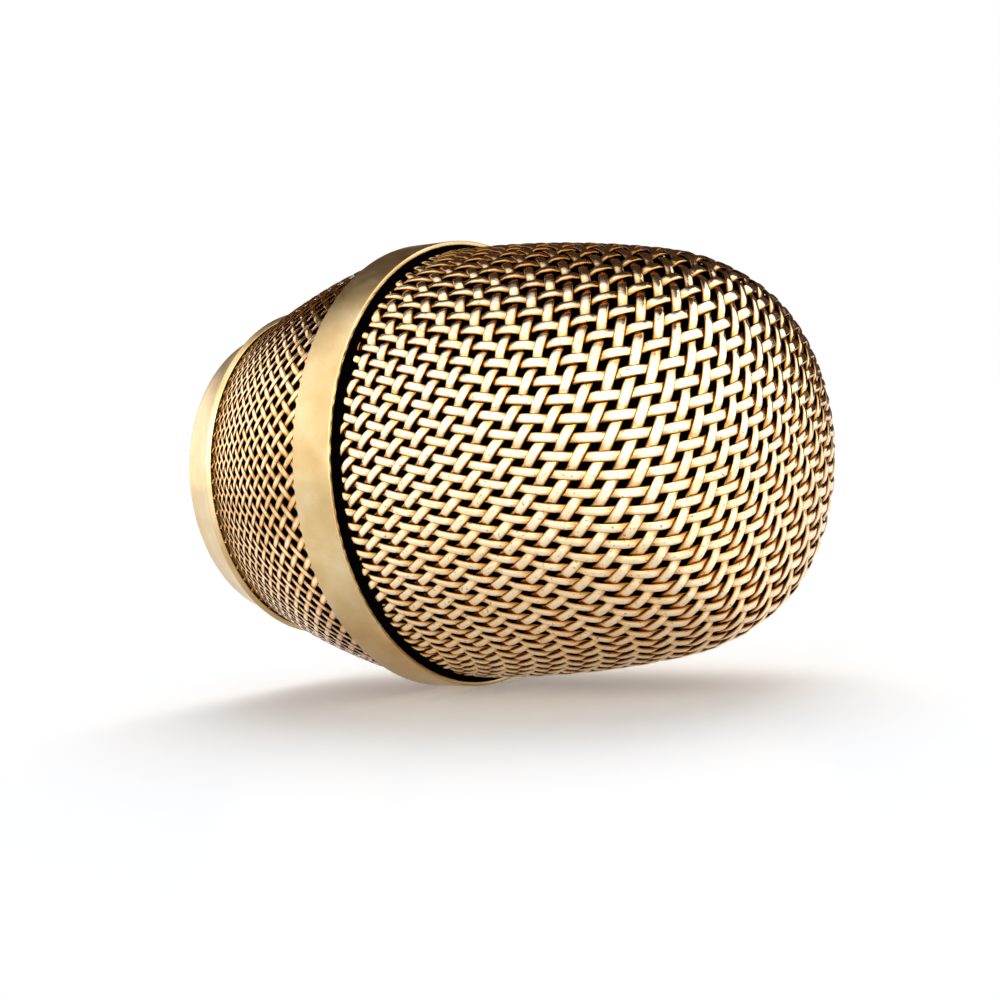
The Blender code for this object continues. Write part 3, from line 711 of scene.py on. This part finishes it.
def dome_wires(name, family, nodes=()):
    """One family of the dome's wires, from edge to edge over the dome."""
    length, s_of, r_of, out_s, out_r = dome_profile(DOME_WIRE_THICKNESS)
    numbers = np.arange(-MOST_WIRES, MOST_WIRES + 1)
    last_sample = MOST_WIRES * WIRE_SAMPLES
    turns = np.arange(-last_sample, last_sample + 1) / WIRE_SAMPLES
    own, crossing = np.meshgrid(numbers.astype(float), turns, indexing="ij")
    if family == "warp":
        x, y, good = find_sheet_places(own, crossing)
        drape, sign = WARP, 1.0
    else:
        x, y, good = find_sheet_places(crossing, own)
        drape, sign = WEFT, -1.0
    reach = np.hypot(x, y) * SHEET_SCALE
    angle = np.arctan2(y, x) + SHEET_MERIDIAN
    _, along, across = phase(drape, x, y)
    radius = np.interp(reach, length, r_of)
    squeeze = np.where(reach > 1e-6, radius / np.maximum(reach, 1e-6), 1.0)
    outward = (along * x + across * y) / (np.hypot(x, y) + 1e-9)
    around = (across * x - along * y) / (np.hypot(x, y) + 1e-9) / squeeze
    spacing = SHEET_SCALE / np.hypot(outward, around)
    keep = good & (reach < length[-1] - 0.2 * MM)
    paths = []
    for row, number in enumerate(numbers):
        first, last = longest_run(keep[row])
        if last - first < WIRE_SAMPLES:
            continue
        cut = slice(first, last)
        height = sign * crimp(crossing[row, cut] + number)
        lift = height * DOME_WIRE_THICKNESS / 2
        s = np.interp(reach[row, cut], length, s_of)
        r = np.interp(reach[row, cut], length, r_of)
        n_s = np.interp(reach[row, cut], length, out_s)
        n_r = np.interp(reach[row, cut], length, out_r)
        turn = angle[row, cut]
        normals = np.stack([n_s, n_r * np.cos(turn), n_r * np.sin(turn)], -1)
        points = place(s, r, turn) + normals * lift[:, None]
        half_width = np.minimum(DOME_WIRE_WIDTH / 2, DOME_WIRE_SHARE * spacing[row, cut])
        half_thickness = np.full(last - first, DOME_WIRE_THICKNESS / 2)
        paths.append((points, normals, half_width, half_thickness, height))
    wire_mesh(paths, SECTION, name, "gold_wire_dome", nodes)


def cone_radius(s):
    """Outer radius of the cone's wires, slightly convex."""
    small, large, bulge = 18.8 * MM, 24.95 * MM, 0.65 * MM
    k = np.clip((s - CONE_START) / (CONE_END - CONE_START), 0.0, 1.0)
    return small + (large - small) * k + 4.0 * bulge * k * (1.0 - k)


def cone_wires(name, direction, nodes=()):
    """One family of the cone's wires; direction is 1 or -1, the way they wind."""
    s = np.linspace(CONE_START - 0.3 * MM, CONE_SKIRT - 0.2 * MM, 2000)
    r = cone_radius(s) - CONE_WIRE_THICKNESS
    slope = np.gradient(r, s)
    distance = np.concatenate([[0.0], np.cumsum(np.hypot(np.diff(s), np.diff(r)))])
    rise = CONE_CLOSENESS * CONE_EASING * (1.0 - np.exp(-distance / CONE_EASING))
    turns = np.arange(0.0, 2.0 * rise[-1], 1.0 / WIRE_SAMPLES)
    s = np.interp(turns / 2, rise, s)
    r = np.interp(turns / 2, rise, r)
    slope = np.interp(turns / 2, rise, slope)
    closeness = CONE_CLOSENESS * np.exp(-np.interp(turns / 2, rise, distance) / CONE_EASING)
    spacing = 1.0 / np.hypot(closeness, CONE_WIRES / (math.tau * r))
    half_thickness = np.minimum(CONE_WIRE_THICKNESS, CONE_WIRE_FLATNESS * spacing) / 2
    half_width = spacing * (CONE_WIRE_SHARE + CONE_BAND_SHARE * turns / turns[-1]
                            + CONE_CROSSING_SHARE * np.cos(math.pi * turns) ** 2)
    height = direction * crimp(turns)
    lift = height * half_thickness
    size = np.hypot(slope, 1.0)
    paths = []
    for number in range(CONE_WIRES):
        angle = math.tau * (number - direction * turns / 2) / CONE_WIRES
        normals = np.stack([-slope / size, np.cos(angle) / size, np.sin(angle) / size], -1)
        points = place(s, r, angle) + normals * lift[:, None]
        paths.append((points, normals, half_width, half_thickness, height))
    wire_mesh(paths, FINE_SECTION, name, "gold_wire_cone", nodes)


# The pieces ---------------------------------------------------------------------------------
def collar_outline():
    """A flare that is slightly hollow, a crisp front chamfer and a shallow front recess."""
    back, front, sag = 17.1 * MM, radius_of("base_collar"), 0.12 * MM
    lip_bore, lip_end, neck_pocket = 15.85 * MM, 0.8 * MM, 16.65 * MM
    recess_floor, rim_back, rim_front = 5.2 * MM, 18.85 * MM, 18.95 * MM
    flare_start, flare_length, back_chamfer = 0.3 * MM, 4.8 * MM, 0.25 * MM
    flare = []
    for k in np.linspace(0.0, 1.0, 13):
        flare.append((flare_start + k * flare_length,
                      back + (front - back) * k - 4 * sag * k * (1 - k)))
    return [(0.0, lip_bore), (0.0, back - back_chamfer)] + flare + [
        (COLLAR_END, rim_front), (recess_floor, rim_back), (recess_floor, neck_pocket),
        (lip_end, neck_pocket), (lip_end, lip_bore)]


def thread(s, angle, start, end, run_out, pitch):
    """A thread's wave, from 0 to 1, and how far it has run in at both of its ends."""
    ease = np.clip(np.minimum(s - start, end - s) / run_out, 0.0, 1.0)
    return 0.5 + 0.5 * np.cos(math.tau * s / pitch - angle), ease


def neck_shape(s, r, angle):
    """The grille thread outside the neck and the handle thread inside it."""
    wave, ease = thread(s, angle, THREAD_START, THREAD_END, THREAD_RUN_OUT, THREAD_PITCH)
    handle_wave, handle_ease = thread(s, angle, HANDLE_THREAD_START, HANDLE_THREAD_END,
                                      HANDLE_THREAD_RUN_OUT, HANDLE_THREAD_PITCH)
    outside = np.abs(r - THREAD_ROOT) < ON_THREAD
    inside = np.abs(r - HANDLE_THREAD_RADIUS) < ON_THREAD
    return (r + np.where(outside, THREAD_DEPTH * ease * wave, 0.0)
            + np.where(inside, HANDLE_THREAD_DEPTH * handle_ease * handle_wave, 0.0))


def neck_outline():
    corners = [(NECK_START, NECK_BACK_RADIUS), (NECK_STEP, NECK_BACK_RADIUS),
               (NECK_STEP, THREAD_ROOT), (NECK_END, THREAD_ROOT), (NECK_END, NECK_BORE),
               (SHOULDER_END, NECK_BORE), (SHOULDER_END, SHOULDER_BORE),
               (SOCKET_DEPTH, SHOULDER_BORE), (SOCKET_DEPTH, HANDLE_THREAD_RADIUS),
               (NECK_START, HANDLE_THREAD_RADIUS)]
    return subdivided(corners, 0.1 * MM)


def flange_shape(s, r, angle):
    wave, ease = thread(s, angle, THREAD_START, THREAD_END, THREAD_RUN_OUT, THREAD_PITCH)
    threaded = np.abs(r - FLANGE_BORE) < ON_THREAD
    return r - np.where(threaded, THREAD_DEPTH * ease * (1.0 - wave), 0.0)


def flange_outline():
    outer = [(s, float(cone_radius(s)) - CONE_WALL - 0.15 * MM)
             for s in np.linspace(CONE_START, FLANGE_END, 4)]
    return subdivided(outer + [(FLANGE_END, FLANGE_BORE), (CONE_START, FLANGE_BORE)], 0.12 * MM)


def band_outline():
    """A pocket for the dome's skirt in front and one for the cone's behind, and a web between."""
    dome_pocket, cone_pocket = 24.98 * MM, 25.12 * MM
    web_back, web_front, web_bore = 26.3 * MM, 27.6 * MM, 22.6 * MM
    return [(BAND_BACK, cone_pocket), (BAND_BACK, BAND_RADIUS), (BAND_FRONT, BAND_RADIUS),
            (BAND_FRONT, dome_pocket), (web_front, dome_pocket), (web_front, web_bore),
            (web_back, web_bore), (web_back, cone_pocket)]


def make_turned_pieces():
    turned("collar", rounded(collar_outline(), 0.08 * MM), 256, "base", "gold_satin",
           ["base_collar"])
    turned("neck", neck_outline(), 160, "base", "brass", ["threaded_neck"], neck_shape)
    turned("band", rounded(band_outline(), 0.16 * MM), 320, "grille", "gold_satin", ["band_ring"])
    turned("flange", flange_outline(), 160, "grille", "brass", ["grille_flange"], flange_shape)
    for name, node in (("ring_outer", "contact_ring_outer"), ("ring_inner", "contact_ring_inner")):
        back, front = axial(node)
        outer = radius_of(node)
        bore = outer - 1.6 * MM
        ring = [(back, bore), (back, outer), (front, outer), (front, bore)]
        turned(name, rounded(ring, 0.08 * MM), 160, "base", "gold_contact", [node])


def dome_line(depth, back, step):
    """Every step-th point of the dome's outline, that far below its surface, in front of back.
    The first lies on the axis."""
    _, s, r, _, _ = dome_profile(depth)
    line = [(s, r) for s, r in zip(s[::step], r[::step]) if s > back]
    return [(line[0][0], 0.0)] + line[1:]


def cone_shell(stations, depths):
    """A closed outline between two depths below the cone's surface."""
    outer, inner = ([(s, float(cone_radius(s)) - depth) for s in stations] for depth in depths)
    return outer + inner[::-1]


def make_linings():
    """A fine black screen behind the dome's wires, with a black hem that lines the band's pocket
    as painted shade in the groove there, and a black sheet of painted shade behind the cone's wires.
    """
    outer, inner = (dome_line(depth, BAND_FRONT + GROOVE_WIDTH, 3) for depth in DOME_LINER_DEPTHS)
    # painted shade: a black hem lining the band's pocket, so the groove between band and wires is
    # black
    shade_hem_start, shade_hem_end, shade_hem_outer, shade_hem_inner = 0.25 * MM, 0.7 * MM, 24.93 * MM, 22.7 * MM
    shade_hem = [(BAND_FRONT - shade_hem_start, shade_hem_outer), (BAND_FRONT - shade_hem_end, shade_hem_outer),
           (BAND_FRONT - shade_hem_end, shade_hem_inner)]
    turned("liner", outer + shade_hem + inner[::-1], 128, "grille", "black_screen", ["dome_liner"])
    # painted shade: a black sheet behind the cone's wires, so the gaps between them are black
    stations = np.linspace(CONE_START + 0.05 * MM, CONE_END + 1.2 * MM, 16)
    turned("cone_shade_sheet", cone_shell(stations, CONE_SHADE_SHEET_DEPTHS), 128, "grille", "black_screen")


def make_leads():
    """The two thin leads, which run from the preamp board behind to the floating capsule in front,
    copied from the CAD with their own finishes.
    """
    for node, slot, front in (("signal_lead_1", "lead_red", 23.9 * MM),
                              ("signal_lead_2", "lead_white", 25.9 * MM)):
        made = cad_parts[node]
        lead = bpy.data.objects.new(node.replace("signal", "soft"), made.data.copy())
        lead.matrix_world = made.matrix_world.copy()
        bpy.context.scene.collection.objects.link(lead)
        lead.data.materials.clear()
        lead.data.materials.append(LOOKS[slot])
        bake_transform(lead)
        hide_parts(node)


def make_foams():
    """The foam lining of the dome and the foam sleeve in the cone."""
    back = axial("dome_foam")[0]
    outer, inner = (dome_line(depth, back, 4) for depth in DOME_FOAM_DEPTHS)
    ends = [(back, outer[-1][1]), (back, inner[-1][1])]
    lining = turned("foam_lining", outer + ends + inner[::-1], 96, "grille", "foam", ["dome_foam"])
    sleeve = rounded(cone_shell(np.linspace(*axial("cone_foam"), 12), CONE_FOAM_DEPTHS), 0.3 * MM)
    sleeve = turned("foam_sleeve", sleeve, 96, "grille", "foam", ["cone_foam"])


def dress_cad_nodes():
    """A finish for every node that is shown as the CAD made it."""
    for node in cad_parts.values():
        for holder in node.material_slots:
            holder.material = LOOKS[holder.material.name.split(".")[0]]


make_studio()
LOOKS = make_materials()
dress_cad_nodes()
make_turned_pieces()
make_linings()
make_foams()
make_leads()
dome_wires("dome_warp_wires", "warp", ["dome_mesh"])
dome_wires("dome_weft_wires", "weft")
cone_wires("cone_left_wires", 1.0, ["cone_mesh"])
cone_wires("cone_right_wires", -1.0)
